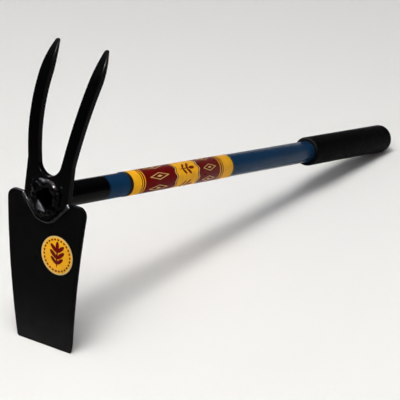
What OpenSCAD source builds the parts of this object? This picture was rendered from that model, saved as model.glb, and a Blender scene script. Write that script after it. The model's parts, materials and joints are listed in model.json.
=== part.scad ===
// Short hand hoe with a tapered blade and a two-prong fork, welded to a tube handle.
// It rests as it is laid down: on the cutting edge and on the far end of the grip.
// X runs across the blade, Y from the head to the grip, Z up from the ground.

/* [Blade] */
// Length of the blade, from its top edge to its cutting edge
blade_length = 157; // [120:1:200]
// Width of the blade at its top edge
blade_top_width = 101; // [80:1:140]
// Width of the blade at its cutting edge
blade_edge_width = 70; // [50:1:100]
// Thickness of the blade
blade_thickness = 3; // [2.5:0.1:5]
// Forward bow of the blade at half its length
blade_bow = 3.6; // [1:0.1:6]
// Angle by which the blade leans back, measured from square to the handle
blade_angle = 8.1; // [4:0.1:14]
// Distance from the fork's front face back to the blade's, at the top edge
blade_setback = 1.8; // [1:0.1:3]
// Radius of the blade's top corners
top_corner_radius = 9; // [4:0.5:15]
// Radius of the corners at the cutting edge
edge_corner_radius = 3; // [1:0.5:6]
// Length of the ground bevel behind the cutting edge
grind_length = 10; // [5:0.5:20]
// Thickness left at the cutting edge
edge_land = 0.9; // [0.5:0.1:1.5]

/* [Fork] */
// Thickness of the fork
fork_thickness = 7; // [5:0.1:8]
// Width of the plate round the eye
eye_plate_width = 55.5; // [48:0.5:62]
// Depth of the tongue below the middle of the eye
tongue_depth = 25.5; // [24:0.5:36]
// Radius of the tongue's lower end
tongue_end_radius = 9; // [6:0.5:12]
// Height of the crotch above the middle of the eye
crotch_height = 22.5; // [20:0.5:28]
// Width of a prong
prong_width = 12.8; // [11:0.1:16]
// Height of the tips above the middle of the eye, square to the handle
prong_height = 151.5; // [110:0.5:180]
// Distance between the prongs' middle lines at the tips
prong_spread = 63.5; // [56:0.5:76]
// Radius of a prong's middle line, seen along the handle
flare_radius = 640; // [500:5:900]
// Height above the eye at which the prongs start to bend back
bend_start = 40; // [30:1:60]
// Radius of the prongs' bend, at the front face
bend_radius = 223; // [190:1:400]
// Length of the taper on a prong's outer edge
taper_length = 34; // [20:1:45]
// Distance by which the taper draws in a prong's inner edge
inner_taper = 2; // [0.5:0.1:3]
// Width of a prong where its tip is rounded off
tip_width = 5.2; // [3:0.1:8]
// Length of the ground face behind a tip
tip_grind_length = 32; // [22:1:38]
// Thickness left at a tip
tip_thickness = 2; // [1.2:0.1:3.5]

/* [Handle] */
// Outside diameter of the tube
tube_diameter = 25; // [22:0.1:27]
// Wall of the tube
tube_wall = 1.5; // [1.2:0.1:2.5]
// Length of the tube
tube_length = 649.5; // [500:0.5:900]

/* [Grip] */
// Outside diameter of the grip
grip_diameter = 33.8; // [31:0.1:40]
// Length of the grip over the tube
grip_cover = 171.5; // [110:0.5:200]
// Thickness of the grip's closed end
grip_end_wall = 8; // [4:0.5:14]
// Radius of the grip's open rim
grip_rim_radius = 2; // [0.5:0.1:2.5]
// Radius round the grip's closed end
grip_end_radius = 9; // [4:0.5:14]

/* [Prints] */
// Distance from the eye to the near end of the label
label_start = 121; // [100:1:200]
// Length of the label
label_length = 189; // [100:1:220]
// Thickness of the label
label_thickness = 0.4; // [0.2:0.05:0.8]
// Diameter of the sticker on the blade
sticker_diameter = 41; // [30:0.5:46]
// Thickness of the sticker
sticker_thickness = 0.3; // [0.2:0.05:0.6]
// Distance of the sticker's middle from the blade's middle line
sticker_side = 17.5; // [-18:0.5:18]
// Distance of the sticker's middle below the blade's top edge
sticker_drop = 55; // [54:0.5:90]

/* [Welds] */
// Distance from the outside of the tube to the middle of the weld ring on the front
eye_weld_offset = 1.5; // [0.5:0.1:2.5]
// Width of the weld ring on the front
eye_weld_width = 10.6; // [7:0.1:11]
// Height of the weld ring on the front
eye_weld_height = 3.8; // [2:0.1:5]
// Number of lumps round the weld ring
weld_lumps = 13; // [8:1:18]
// Height of a lump as a share of the ring's height
lump_share = 0.14; // [0.05:0.01:0.2]
// Leg of the weld behind the fork
rear_weld_leg = 5; // [3:0.1:7]
// Size of the bead between tongue and blade
seam_bead_radius = 2.4; // [1.8:0.1:3]
// Number of lumps along the bead between tongue and blade
seam_lumps = 16; // [8:1:24]

/* [Fits] */
// Gap between the tongue and its notch in the blade
notch_gap = 0.4; // [0.2:0.05:1]
// Gap between the tube and the eye
eye_gap = 0.2; // [0.1:0.05:0.5]
// Gap between the tube and what is pushed or wrapped over it
wrap_gap = 0.05; // [0.02:0.01:0.2]
// Gap that keeps welds and stickers clear of what they sit on
seat_gap = 0.02; // [0.01:0.01:0.05]

/* [Hidden] */
$fn = 96;
// Facets of the arcs with a very large radius
fine = 1440;
// Facets of the bends
medium = 360;
// Steps of a rounded corner
corner_steps = 12;
// Steps of a weld: along a lump, across the ring, across the seam and along each stretch of the seam
lump_steps = 6;
ring_steps = 8;
bead_steps = 5;
seam_steps = 18;
// A second swell, lower and with fewer lumps, that makes the lumps of a weld differ
second_share = 0.5;
second_fewer = 4;
second_turn = 50;
// Turn between the ring's swell in width and its swell in height
width_turn = 20;
// Reach of the blocks that only cut or clip
reach = 2 * (blade_length + prong_height);

tube_radius = tube_diameter / 2;
eye_radius = tube_radius + eye_gap;
eye_weld_radius = tube_radius + eye_weld_offset;
grip_radius = grip_diameter / 2;
grip_length = grip_cover + grip_end_wall;
grip_start = tube_length - grip_cover;

// The blade's front face is an arc whose chord is the blade's length.
blade_radius = pow(blade_length / 2, 2) / (2 * blade_bow) + blade_bow / 2;
blade_half_arc = asin(blade_length / 2 / blade_radius);
arc_y = blade_setback + (blade_radius - blade_bow) * cos(blade_angle) + blade_length / 2 * sin(blade_angle);
arc_z = (blade_radius - blade_bow) * sin(blade_angle) - blade_length / 2 * cos(blade_angle);
grind_slope = atan((blade_thickness - edge_land) / grind_length) - blade_half_arc;
edge_y = blade_setback + blade_length * sin(blade_angle);
edge_z = -blade_length * cos(blade_angle);

// The tool lies on a line from the cutting edge that touches the grip's rounded end.
end_y = tube_length + grip_end_wall - grip_end_radius;
end_z = -(grip_radius - grip_end_radius);
rest_span = norm([end_y - edge_y, end_z - edge_z]);
rest_angle = atan2(end_z - edge_z, end_y - edge_y) - asin(grip_end_radius / rest_span);
blade_rise = blade_length * cos(rest_angle - blade_angle);

// Tongue: straight sides that run tangent into a round lower end.
tongue_half = eye_plate_width / 2;
tongue_end_z = -(tongue_depth - tongue_end_radius);
tongue_reach = norm([tongue_half, tongue_end_z]);
tongue_tilt = acos(tongue_end_radius / tongue_reach) - atan2(-tongue_end_z, tongue_half);
tongue_turn_x = tongue_end_radius * cos(tongue_tilt);
tongue_turn_z = tongue_end_z - tongue_end_radius * sin(tongue_tilt);

// Prongs: both edges are arcs round one centre, level with the tips.
flare_x = prong_spread / 2 - flare_radius;
inner_radius = flare_radius - prong_width / 2;
outer_radius = flare_radius + prong_width / 2;
crotch_span = prong_height - crotch_height;
crotch_power = pow(inner_radius, 2) - pow(crotch_span, 2) - pow(flare_x, 2);
crotch_radius = crotch_power / (2 * (inner_radius - crotch_span));
crotch_z = crotch_height + crotch_radius;
shoulder_z = prong_height - sqrt(pow(outer_radius, 2) - pow(tongue_half - flare_x, 2));
crotch_meet_z = crotch_z - crotch_radius * (prong_height - crotch_z) / (inner_radius - crotch_radius);

// Tapers: arcs that leave a prong's edges tangentially and draw in towards its tip.
tip_cut_z = prong_height - tip_width / 2;
taper_start_z = prong_height - taper_length;
taper_rise = tip_cut_z - taper_start_z;
outer_taper = prong_width - tip_width - inner_taper;
outer_taper_radius = taper_radius(outer_taper);
inner_taper_radius = taper_radius(inner_taper);
outer_taper_centre = along_flare(outer_radius, outer_radius - outer_taper_radius);
inner_taper_centre = along_flare(inner_radius, inner_radius + inner_taper_radius);
tip_outer_x = outer_taper_centre[0] + chord(outer_taper_radius, tip_cut_z - outer_taper_centre[1]);
tip_inner_x = inner_taper_centre[0] - chord(inner_taper_radius, tip_cut_z - inner_taper_centre[1]);
tip_radius = (tip_outer_x - tip_inner_x) / 2;

// Radius of an arc that draws in by a distance over the taper's rise.
function taper_radius(draw) = (pow(taper_rise, 2) + pow(draw, 2)) / (2 * draw);
function chord(radius, offset) = sqrt(pow(radius, 2) - pow(offset, 2));
// Point at a distance from the flare's centre, on the line through an edge's taper start.
function along_flare(edge_radius, distance) =
    let (drop = taper_length / edge_radius)
    [flare_x + distance * chord(1, drop), prong_height - distance * drop];

// Ground face behind a tip, in the plane that the prongs bend in.
tip_bend = asin((prong_height - bend_start) / bend_radius);
grind_bend = tip_bend - tip_grind_length / bend_radius * 180 / PI;
grind_end = behind(tip_bend, tip_thickness);
grind_begin = behind(grind_bend, fork_thickness);
grind_tilt = atan2(grind_end[0] - grind_begin[0], grind_end[1] - grind_begin[1]);
grind_run = (bend_radius - fork_thickness) * sin(grind_bend - grind_tilt);

// Depth and height of a point at an angle along the prongs' bend, some way behind their front face.
function behind(angle, depth) = [
    bend_radius - (bend_radius - depth) * cos(angle),
    bend_start + (bend_radius - depth) * sin(angle)
];

// Depth of the blade's front face behind the fork's, at a height on its middle line.
function blade_front(z) = arc_y - sqrt(pow(blade_radius, 2) - pow(z - arc_z, 2));

// Puts the tool on the ground, with the middle of its cutting edge at the origin.
module at_rest() {
    translate([0, -edge_land / 2, 0])
        rotate([-rest_angle, 0, 0])
            translate([0, -edge_y, -edge_z])
                children();
}

// Extrudes an outline drawn in X and Z from one depth to another.
module plate(front, back) {
    translate([0, back, 0])
        rotate([90, 0, 0])
            linear_extrude(height = back - front)
                children();
}

// A round bar across the tool.
module cross_bar(radius, facets) {
    rotate([0, 90, 0])
        cylinder(h = reach, r = radius, center = true, $fn = facets);
}

// A round bar along the handle.
module along(start, length, radius) {
    translate([0, start, 0])
        rotate([-90, 0, 0])
            cylinder(h = length, r = radius);
}

// Points of an arc, from one angle to another.
function arc(centre, radius, from, to) = [
    for (i = [0:corner_steps])
        let (angle = from + (to - from) * i / corner_steps)
        centre + radius * [cos(angle), sin(angle)]
];

function unit(v) = v / norm(v);
function heading(v) = atan2(v[1], v[0]);

// The arc that rounds a corner between two others of an outline drawn anticlockwise.
function corner(before, point, after, radius) =
    let (
        back = unit(before - point),
        ahead = unit(after - point),
        half = acos(back * ahead) / 2,
        centre = point + unit(back + ahead) * radius / sin(half),
        from = heading(-back) - 90
    )
    arc(centre, radius, from, from + 180 - 2 * half);

// A convex outline with each corner rounded to its own radius.
module rounded_outline(points, radii) {
    count = len(points);
    polygon([
        for (i = [0:count - 1])
            each corner(points[(i + count - 1) % count], points[i], points[(i + 1) % count], radii[i])
    ]);
}

// The tongue and the plate above it, made larger all round by a margin.
module tongue_outline(margin) {
    half = tongue_half + margin;
    bend = -margin * tan(tongue_tilt / 2);
    polygon(concat(
        [[-half, shoulder_z], [-half, bend]],
        arc([0, tongue_end_z], tongue_end_radius + margin, tongue_tilt - 180, -tongue_tilt),
        [[half, bend], [half, shoulder_z]]
    ));
}

module flare_circle(radius) {
    translate([flare_x, prong_height])
        circle(r = radius, $fn = fine);
}

module prong_outline() {
    difference() {
        intersection() {
            flare_circle(outer_radius);
            square([reach, tip_cut_z]);
            union() {
                square([reach, taper_start_z]);
                intersection() {
                    translate(outer_taper_centre)
                        circle(r = outer_taper_radius, $fn = medium);
                    translate(inner_taper_centre)
                        circle(r = inner_taper_radius, $fn = medium);
                }
            }
        }
        flare_circle(inner_radius);
    }
    translate([(tip_inner_x + tip_outer_x) / 2, tip_cut_z])
        circle(r = tip_radius);
}

// The tongue and the plate round the eye, up to where the prongs part.
module eye_outline() {
    difference() {
        union() {
            tongue_outline(0);
            intersection() {
                flare_circle(outer_radius);
                mirror([1, 0])
                    flare_circle(outer_radius);
                translate([-reach / 2, 0])
                    square([reach, crotch_meet_z]);
            }
        }
        translate([0, crotch_z])
            circle(r = crotch_radius);
    }
}

// All that lies behind one face of the fork: flat round the eye, then a bend back towards the handle.
module behind_face(depth) {
    radius = bend_radius - depth;
    translate([0, bend_radius, bend_start])
        cross_bar(radius, fine);
    translate([-reach / 2, depth, bend_start - reach])
        cube([reach, 2 * radius, reach]);
}

module bent_sheet() {
    difference() {
        behind_face(0);
        behind_face(fork_thickness);
    }
}

module tip_grind() {
    translate([0, grind_begin[0], grind_begin[1]])
        rotate([-grind_tilt, 0, 0])
            translate([-reach / 2, 0, -grind_run])
                cube(reach);
}

module fork_outline() {
    eye_outline();
    prong_outline();
    mirror([1, 0])
        prong_outline();
}

module fork() {
    color("#161618")
        at_rest()
            difference() {
                intersection() {
                    plate(-reach / 2, reach / 2)
                        fork_outline();
                    bent_sheet();
                }
                along(-reach / 2, reach, eye_radius);
                tip_grind();
            }
}

// Puts what is drawn on the blade at its set angle, with Z down from the top edge as negative.
module on_blade() {
    translate([0, blade_setback, 0])
        rotate([blade_angle, 0, 0])
            children();
}

// The bar whose front is the blade's front face, grown by a margin.
module blade_bar(margin) {
    translate([0, blade_radius - blade_bow, -blade_length / 2])
        cross_bar(blade_radius + margin, fine);
}

// The blade as seen along the ground, so that its edges end level.
module blade_outline() {
    rounded_outline(
        [
            [-blade_edge_width / 2, 0],
            [blade_edge_width / 2, 0],
            [blade_top_width / 2, blade_rise],
            [-blade_top_width / 2, blade_rise]
        ],
        [edge_corner_radius, edge_corner_radius, top_corner_radius, top_corner_radius]
    );
}

module blade_grind() {
    translate([0, edge_land, -blade_length])
        rotate([-grind_slope, 0, 0])
            translate([-reach / 2, 0, -reach / 2])
                cube(reach);
}

// The space that the fork's tongue and eye plate take up, with a gap round them.
module tongue_space(gap) {
    plate(-reach / 2, reach / 2)
        tongue_outline(gap);
}

module hoe_blade() {
    color("#1d1d1f")
        difference() {
            intersection() {
                plate(-reach / 2, reach / 2)
                    blade_outline();
                at_rest()
                    on_blade()
                        difference() {
                            blade_bar(0);
                            blade_bar(-blade_thickness);
                            blade_grind();
                        }
            }
            at_rest()
                tongue_space(notch_gap);
        }
}

// Swell of a weld bead along its run, as the torch left it.
function second_swell(angle, lumps) = second_share * sin((lumps - second_fewer) * angle + second_turn);
function swell(angle, lumps) = 1 + lump_share * (sin(lumps * angle) + second_swell(angle, lumps));

// Skin of a bead whose sections follow each other: closed in a ring, or capped at both ends.
function bead_faces(sections, size, closed) = [
    for (i = [0:sections - (closed ? 1 : 2)], j = [0:size - 1])
        let (
            here = i * size,
            next = (i + 1) % sections * size,
            k = (j + 1) % size
        )
        each [
            [here + j, next + k, here + k],
            [here + j, next + j, next + k]
        ],
    if (!closed) [for (j = [0:size - 1]) j],
    if (!closed) [for (j = [size - 1:-1:0]) (sections - 1) * size + j]
];

// Place and outward direction on the tongue's edge: down one side, round its end and up the other.
function seam_place(side, share) =
    [side * (tongue_half + (tongue_turn_x - tongue_half) * share), tongue_turn_z * share];
function seam_turn(angle) =
    [tongue_end_radius * cos(angle), tongue_end_z + tongue_end_radius * sin(angle)];
seam_path = [
    for (i = [0:seam_steps])
        [seam_place(1, i / seam_steps), -tongue_tilt],
    for (i = [1:seam_steps - 1])
        let (angle = -tongue_tilt - (180 - 2 * tongue_tilt) * i / seam_steps)
        [seam_turn(angle), angle],
    for (i = [seam_steps:-1:0])
        [seam_place(-1, i / seam_steps), tongue_tilt - 180]
];

// The bead in the corner between the tongue's edge and the blade's front face.
module seam_weld() {
    size = bead_steps + 2;
    points = [
        for (i = [0:len(seam_path) - 1], j = [0:size - 1])
            let (
                place = seam_path[i][0],
                out = [cos(seam_path[i][1]), sin(seam_path[i][1])],
                full = seam_bead_radius * swell(360 * i / len(seam_path), seam_lumps),
                rise = 90 * min(j, bead_steps) / bead_steps,
                spot = place + out * (seat_gap + full * cos(rise)),
                lift = j > bead_steps ? 0 : full * sin(rise)
            )
            [spot[0], blade_front(spot[1]) - seat_gap - lift, spot[1]]
    ];
    color("#1a1a1c")
        at_rest()
            polyhedron(points = points, faces = bead_faces(len(seam_path), size, false));
}

// The weld ring on the front: a domed section carried round the mouth of the tube.
module eye_weld() {
    turns = lump_steps * weld_lumps;
    points = [
        for (i = [0:turns - 1], j = [0:ring_steps])
            let (
                angle = 360 * i / turns,
                rise = 180 * j / ring_steps,
                half = eye_weld_width / 2 * swell(angle + width_turn, weld_lumps),
                radius = eye_weld_radius - half * cos(rise),
                lift = eye_weld_height * swell(angle, weld_lumps) * sin(rise)
            )
            [radius * cos(angle), -seat_gap - lift, radius * sin(angle)]
    ];
    color("#141416")
        at_rest()
            polyhedron(points = points, faces = bead_faces(turns, ring_steps + 1, true));
}

// Turns an outline of radius and distance round the handle's axis.
module turned(start) {
    translate([0, start, 0])
        rotate([-90, 0, 0])
            rotate_extrude()
                children();
}

module rear_weld() {
    color("#141416")
        at_rest()
            turned(fork_thickness + seat_gap)
                translate([tube_radius + seat_gap, 0])
                    intersection() {
                        circle(r = rear_weld_leg);
                        square(rear_weld_leg);
                    }
}

module handle_tube() {
    color("#12395c")
        at_rest()
            difference() {
                along(0, tube_length, tube_radius);
                along(-reach / 2, tube_length + reach, tube_radius - tube_wall);
            }
}

module label_sleeve() {
    inside = tube_radius + wrap_gap;
    color("#7d1612")
        at_rest()
            turned(label_start)
                translate([inside, 0])
                    square([label_thickness, label_length]);
}

module blade_sticker() {
    color("#d8a531")
        at_rest()
            on_blade()
                intersection() {
                    difference() {
                        blade_bar(seat_gap + sticker_thickness);
                        blade_bar(seat_gap);
                    }
                    translate([sticker_side, 0, -sticker_drop])
                        along(-reach / 2, reach / 2, sticker_diameter / 2);
                }
}

// The grip's outside, as radius and distance from its open rim.
module grip_outline() {
    barrel_end = grip_length - grip_end_radius;
    translate([0, grip_rim_radius])
        square([grip_radius, barrel_end - grip_rim_radius]);
    square([grip_radius - grip_rim_radius, grip_length / 2]);
    translate([grip_radius - grip_rim_radius, grip_rim_radius])
        circle(r = grip_rim_radius);
    translate([0, grip_length / 2])
        square([grip_radius - grip_end_radius, grip_length / 2]);
    intersection() {
        translate([grip_radius - grip_end_radius, barrel_end])
            circle(r = grip_end_radius);
        square([grip_radius, grip_length]);
    }
}

module hand_grip() {
    color("#19191b")
        at_rest()
            difference() {
                turned(grip_start)
                    grip_outline();
                along(grip_start - reach, grip_cover + reach, tube_radius + wrap_gap);
            }
}

fork();
hoe_blade();
seam_weld();
eye_weld();
rear_weld();
handle_tube();
label_sleeve();
blade_sticker();
hand_grip();
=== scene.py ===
import json
import math

import bmesh
import bpy
from bpy.props import FloatProperty, FloatVectorProperty, PointerProperty
from mathutils import Matrix, Vector


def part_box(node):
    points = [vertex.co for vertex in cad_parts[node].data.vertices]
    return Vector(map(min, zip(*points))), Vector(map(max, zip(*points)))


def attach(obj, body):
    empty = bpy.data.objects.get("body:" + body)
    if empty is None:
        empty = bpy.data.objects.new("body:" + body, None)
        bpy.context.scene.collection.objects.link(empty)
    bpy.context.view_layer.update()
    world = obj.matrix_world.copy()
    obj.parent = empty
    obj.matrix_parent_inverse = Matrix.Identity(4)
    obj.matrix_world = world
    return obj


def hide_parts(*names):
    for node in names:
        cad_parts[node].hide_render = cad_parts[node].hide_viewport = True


bl_info = {
    "name": "Fork Hoe",
    "version": (1, 0, 0),
    "blender": (4, 5, 0),
    "location": "View3D > Sidebar > Fork Hoe",
    "description": "Models and paints a hand hoe with a two-prong fork on a tube handle",
    "category": "Add Mesh",
}

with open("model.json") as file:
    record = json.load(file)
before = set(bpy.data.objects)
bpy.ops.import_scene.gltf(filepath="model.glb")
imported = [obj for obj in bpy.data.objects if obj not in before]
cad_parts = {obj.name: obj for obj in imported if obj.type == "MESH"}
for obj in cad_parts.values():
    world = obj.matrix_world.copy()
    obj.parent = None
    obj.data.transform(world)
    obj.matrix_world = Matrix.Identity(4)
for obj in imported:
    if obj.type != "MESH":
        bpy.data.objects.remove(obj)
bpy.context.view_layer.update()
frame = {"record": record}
BODY = "root"
TURN = 2 * math.pi

# Sides of a round bar, and length of an extrusion before its points are laid out
BAR_SIDES = 128
NUDGE = 0.001
# Steps round the end of a prong, and how far the last cut across a sheet stays below its top
TIP_STEPS = 12
LAST_CUT = 0.002
# Tolerances: for points that fall together, and for points at the same level
TINY = 0.00001
NEAR = 0.0001

# Handle's place: the eye of the fork, and the lean of the tube from there to the ground
GRIP_MOUNT = next(m for m in frame["record"]["mounts"] if m["name"] == "grip")
AXIS = Vector(GRIP_MOUNT["axis"])
LEAN = math.atan2(-AXIS.z, AXIS.y)
TUBE_LOW, TUBE_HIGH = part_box("handle_tube")
TUBE_RADIUS = TUBE_HIGH.x
EYE = Vector((
    0.0,
    TUBE_LOW.y + TUBE_RADIUS * math.sin(LEAN),
    TUBE_HIGH.z - TUBE_RADIUS * math.cos(LEAN),
))
TOOL = Matrix.Translation(EYE) @ Matrix.Rotation(-LEAN, 4, "X")


def handle_span(node):
    """Start, end and radius of a round node on the handle, measured from the eye."""
    low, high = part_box(node)
    side = high.x * math.sin(LEAN)
    start = (low.y + side - EYE.y) / math.cos(LEAN)
    end = (high.y - side - EYE.y) / math.cos(LEAN)
    return start, end, high.x


TUBE_START, TUBE_END, _ = handle_span("handle_tube")
WRAP_START, WRAP_END, WRAP_RADIUS = handle_span("label_sleeve")
BARREL_MIDDLE = (Vector(GRIP_MOUNT["pos_m"]) - EYE).length
BARREL_HALF = GRIP_MOUNT["dims"]["length_mm"] / 2000
GRIP_RADIUS = GRIP_MOUNT["dims"]["r_mm"] / 1000
STICKER_LOW, STICKER_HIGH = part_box("blade_sticker")


# Sizes and colours

def length(name, description, default):
    return FloatProperty(name=name, description=description, default=default, min=0.0, unit="LENGTH")


def colour(name, description, default):
    return FloatVectorProperty(
        name=name, description=description, default=default, size=3, min=0.0, max=1.0, subtype="COLOR"
    )


class ForkSizes(bpy.types.PropertyGroup):
    """Sizes of the plate fork, with heights measured from the middle of its eye."""

    thickness: length("Thickness", "Thickness of the plate", 0.007)
    plate_width: length("Plate width", "Width of the plate at the eye", 0.0555)
    eye_radius: length("Eye radius", "Radius of the hole that the tube goes through", 0.0127)
    tongue_depth: length("Tongue depth", "Drop from the eye to the end of the tongue", 0.0215)
    tongue_radius: length("Tongue radius", "Radius of the tongue's round end", 0.0165)
    crotch_height: length("Crotch height", "Height at which the prongs part", 0.0225)
    prong_width: length("Prong width", "Width of a prong before its taper", 0.0128)
    prong_height: length("Prong height", "Height of the tips", 0.1515)
    prong_spread: length("Prong spread", "Distance between the prongs' middles at the tips", 0.0635)
    flare_radius: length("Flare radius", "Radius of the prongs' outward curve", 0.64)
    bend_start: length("Bend start", "Height at which the prongs start to bend back", 0.04)
    bend_radius: length("Bend radius", "Radius of the prongs' backward bend", 0.223)
    taper_length: length("Taper length", "Length over which a prong draws in to its tip", 0.034)
    inner_taper: length("Inner taper", "How far the inner edge draws in", 0.002)
    tip_width: length("Tip width", "Width of a prong's tip", 0.0052)
    grind_length: length("Grind length", "Length of the ground face behind a tip", 0.032)
    tip_thickness: length("Tip thickness", "Thickness left at a tip", 0.002)
    edge_round: length("Edge round", "Rounding of the plate's edges", 0.0006)


class BladeSizes(bpy.types.PropertyGroup):
    """Sizes of the hoe blade."""

    length: length("Length", "Length from the top edge to the cutting edge", 0.157)
    top_width: length("Top width", "Width of the top edge", 0.101)
    edge_width: length("Edge width", "Width of the cutting edge", 0.07)
    thickness: length("Thickness", "Thickness of the sheet", 0.003)
    bow: length("Bow", "How far the middle stands in front of the ends", 0.0036)
    setback: length("Setback", "Distance of the top edge behind the fork's face", 0.0018)
    angle: FloatProperty(
        name="Angle", description="Set of the blade towards the handle",
        default=math.radians(8.1), subtype="ANGLE",
    )
    top_corner: length("Top corner", "Radius of the two top corners", 0.009)
    edge_corner: length("Edge corner", "Radius of the two cutting corners", 0.003)
    grind_length: length("Grind length", "Length of the ground face behind the cutting edge", 0.01)
    edge_land: length("Edge land", "Thickness left at the cutting edge", 0.0009)
    notch_gap: length("Notch gap", "Gap between the notch and the fork's tongue", 0.0004)
    edge_round: length("Edge round", "Rounding of the blade's edges", 0.0004)
    # Height above the ground up to which a painted reflection lightens the blade's colour.
    painted_reflection_height: length("Rub height", "Height above the ground up to which use has dulled the paint", 0.085)


class HandleSizes(bpy.types.PropertyGroup):
    """Sizes of the tube and what is on it."""

    tube_wall: length("Tube wall", "Wall of the tube", 0.0015)
    dip_length: length("Dip length", "Length of the tube that was dipped with the head", 0.088)
    wrap_thickness: length("Wrap thickness", "Thickness of the printed wrap", 0.00035)
    sticker_thickness: length("Sticker thickness", "Thickness of the sticker on the blade", 0.0003)
    sticker_drop: length("Sticker drop", "Drop from the blade's top edge to the sticker's middle", 0.055)
    rim_radius: length("Rim radius", "Rounding of the grip's open rim", 0.002)
    end_radius: length("End radius", "Rounding of the grip's closed end", 0.009)
    end_wall: length("End wall", "Rubber beyond the end of the tube", 0.008)
    grip_gap: length("Grip gap", "Gap between the tube and the grip's bore", 0.00005)
    ring_radius: length("Ring radius", "Middle radius of the weld ring at the tube's mouth", 0.014)
    ring_width: length("Ring width", "Width of that ring", 0.0106)
    ring_height: length("Ring height", "Height of that ring above the plate", 0.0038)
    rear_bead: length("Rear bead", "Leg of the weld behind the fork", 0.005)
    seam_bead: length("Seam bead", "Radius of the weld beside the tongue", 0.0026)
    seam_gap: length("Seam gap", "Distance from the tongue to the middle of that weld", 0.002)


class Colours(bpy.types.PropertyGroup):
    """Colours of the finishes."""

    dip: colour("Dip paint", "Gloss black of the head", (0.0006, 0.0006, 0.0007))
    blade: colour("Blade paint", "Satin black of the blade", (0.0006, 0.0006, 0.0006))
    # Lighter blade colour towards the cutting edge: a painted reflection.
    painted_reflection: colour("Rubbed paint", "Blade paint dulled near the cutting edge", (0.013, 0.0127, 0.0124))
    tube: colour("Tube paint", "Blue of the handle", (0.006, 0.036, 0.092))
    yellow: colour("Yellow", "Yellow of the printed films", (0.92, 0.44, 0.014))
    maroon: colour("Maroon", "Maroon of the printed films", (0.135, 0.002, 0.002))
    gold: colour("Gold", "Pale gold of the printed motifs", (0.74, 0.50, 0.19))
    ink: colour("Ink", "Dark borders of the printed films", (0.012, 0.009, 0.007))
    rubber: colour("Rubber", "Black of the grip", (0.0008, 0.0008, 0.0008))
    floor: colour("Floor", "Pale studio floor", (0.95, 0.925, 0.888))


# Drops of weld round the ring: angle in degrees, distance from the eye, size
SPATTER = (
    (158, 0.0222, 0.0010), (171, 0.0236, 0.0007), (140, 0.0226, 0.0008), (203, 0.0208, 0.0006),
    (118, 0.0230, 0.0006), (38, 0.0232, 0.0007), (12, 0.0226, 0.0009), (-28, 0.0216, 0.0006),
)

# Camera at the photograph's angle
CAMERA_PLACE = Vector((1.1403, -1.29365, 0.9034))
CAMERA_TARGET = Vector((0.0477, 0.2012, 0.1))
CAMERA_LENS = 173.19
CAMERA_SHIFT = -0.00125

# Lamps: name, direction, distance, size, power, and whether matt surfaces take their light
LAMPS = (
    ("key_lamp", (0.08, -0.30, 1.0), 2.5, 1.0, 42.5, True),
    ("front_lamp", (0.3, -1.2, 0.8), 3.0, 1.2, 12.0, True),
    ("side_lamp", (-0.8, 0.1, 0.5), 2.4, 0.4, 2.0, True),
    ("right_spark_lamp", (0.3, -0.6, 1.0), 3.0, 0.15, 500.0, False),
    ("left_spark_lamp", (-0.75, -0.1, 0.8), 3.0, 0.15, 850.0, False),
)

# Floor's width, and the sky: its colour, the ceiling's falloff, the walls' height and their light
FLOOR_WIDTH = 40.0
SKY_COLOUR = (0.82, 0.85, 0.89)
CEILING_FALLOFF = 4.0
WALL_HEIGHT = 0.3
WALL_FOOT = 0.3
WALL_TOP = 0.01


# Modelling helpers

def clear_selection():
    """Go to object mode with nothing selected."""
    if bpy.context.mode != "OBJECT":
        bpy.ops.object.mode_set(mode="OBJECT")
    bpy.ops.object.select_all(action="DESELECT")


def only(piece):
    """Make one piece the only selected one, in object mode."""
    clear_selection()
    piece.select_set(True)
    bpy.context.view_layer.objects.active = piece


def named(name):
    """Name what was just added, and its data."""
    piece = bpy.context.active_object
    piece.name = name
    piece.data.name = name
    return piece


def edit(piece):
    only(piece)
    bpy.ops.object.mode_set(mode="EDIT")


def edit_all(piece):
    edit(piece)
    bpy.ops.mesh.select_all(action="SELECT")


def done():
    bpy.ops.object.mode_set(mode="OBJECT")


def choose(piece, kind, test):
    """Select the edges or faces that pass a test, in edit mode."""
    bpy.ops.mesh.select_mode(type=kind)
    bpy.ops.mesh.select_all(action="DESELECT")
    net = bmesh.from_edit_mesh(piece.data)
    for item in net.edges if kind == "EDGE" else net.faces:
        if test(item):
            item.select_set(True)
    net.select_flush_mode()
    bmesh.update_edit_mesh(piece.data)


def finish_modifier(piece, kind, **settings):
    """Add a modifier with its settings and apply it."""
    only(piece)
    modifier = piece.modifiers.new(kind.title(), kind)
    for key, value in settings.items():
        setattr(modifier, key, value)
    bpy.ops.object.modifier_apply(modifier=modifier.name)


def round_edges(piece, width, segments=3):
    """Round the edges that are sharper than a slight bend."""
    finish_modifier(
        piece, "BEVEL", width=width, segments=segments, limit_method="ANGLE",
        angle_limit=math.radians(35), use_clamp_overlap=False, harden_normals=True,
    )


def smooth(piece, angle=None):
    """Shade a piece smooth, up to an angle in degrees if one is given."""
    only(piece)
    if angle is None:
        bpy.ops.object.shade_smooth()
    else:
        bpy.ops.object.shade_smooth_by_angle(angle=math.radians(angle))


def even_normals(piece):
    """Smooth shading that keeps the large faces flat."""
    smooth(piece)
    finish_modifier(piece, "WEIGHTED_NORMAL")


def outward(piece):
    edit_all(piece)
    bpy.ops.mesh.normals_make_consistent(inside=False)
    done()


def settle(piece, place):
    """Put a piece in its place and leave its object at the origin."""
    only(piece)
    piece.matrix_world = place
    bpy.ops.object.transform_apply()


def loop(name, points, fill="NOTHING"):
    """A ring of edges through the given points, filled or not."""
    clear_selection()
    bpy.ops.mesh.primitive_circle_add(vertices=len(points), fill_type=fill)
    ring = named(name)
    for vertex, point in zip(ring.data.vertices, points):
        vertex.co = point
    return ring


def outline_sheet(name, points):
    """A flat face in X and Z with the given outline."""
    return loop(name, [(x, 0.0, z) for x, z in points], "NGON")


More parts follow.
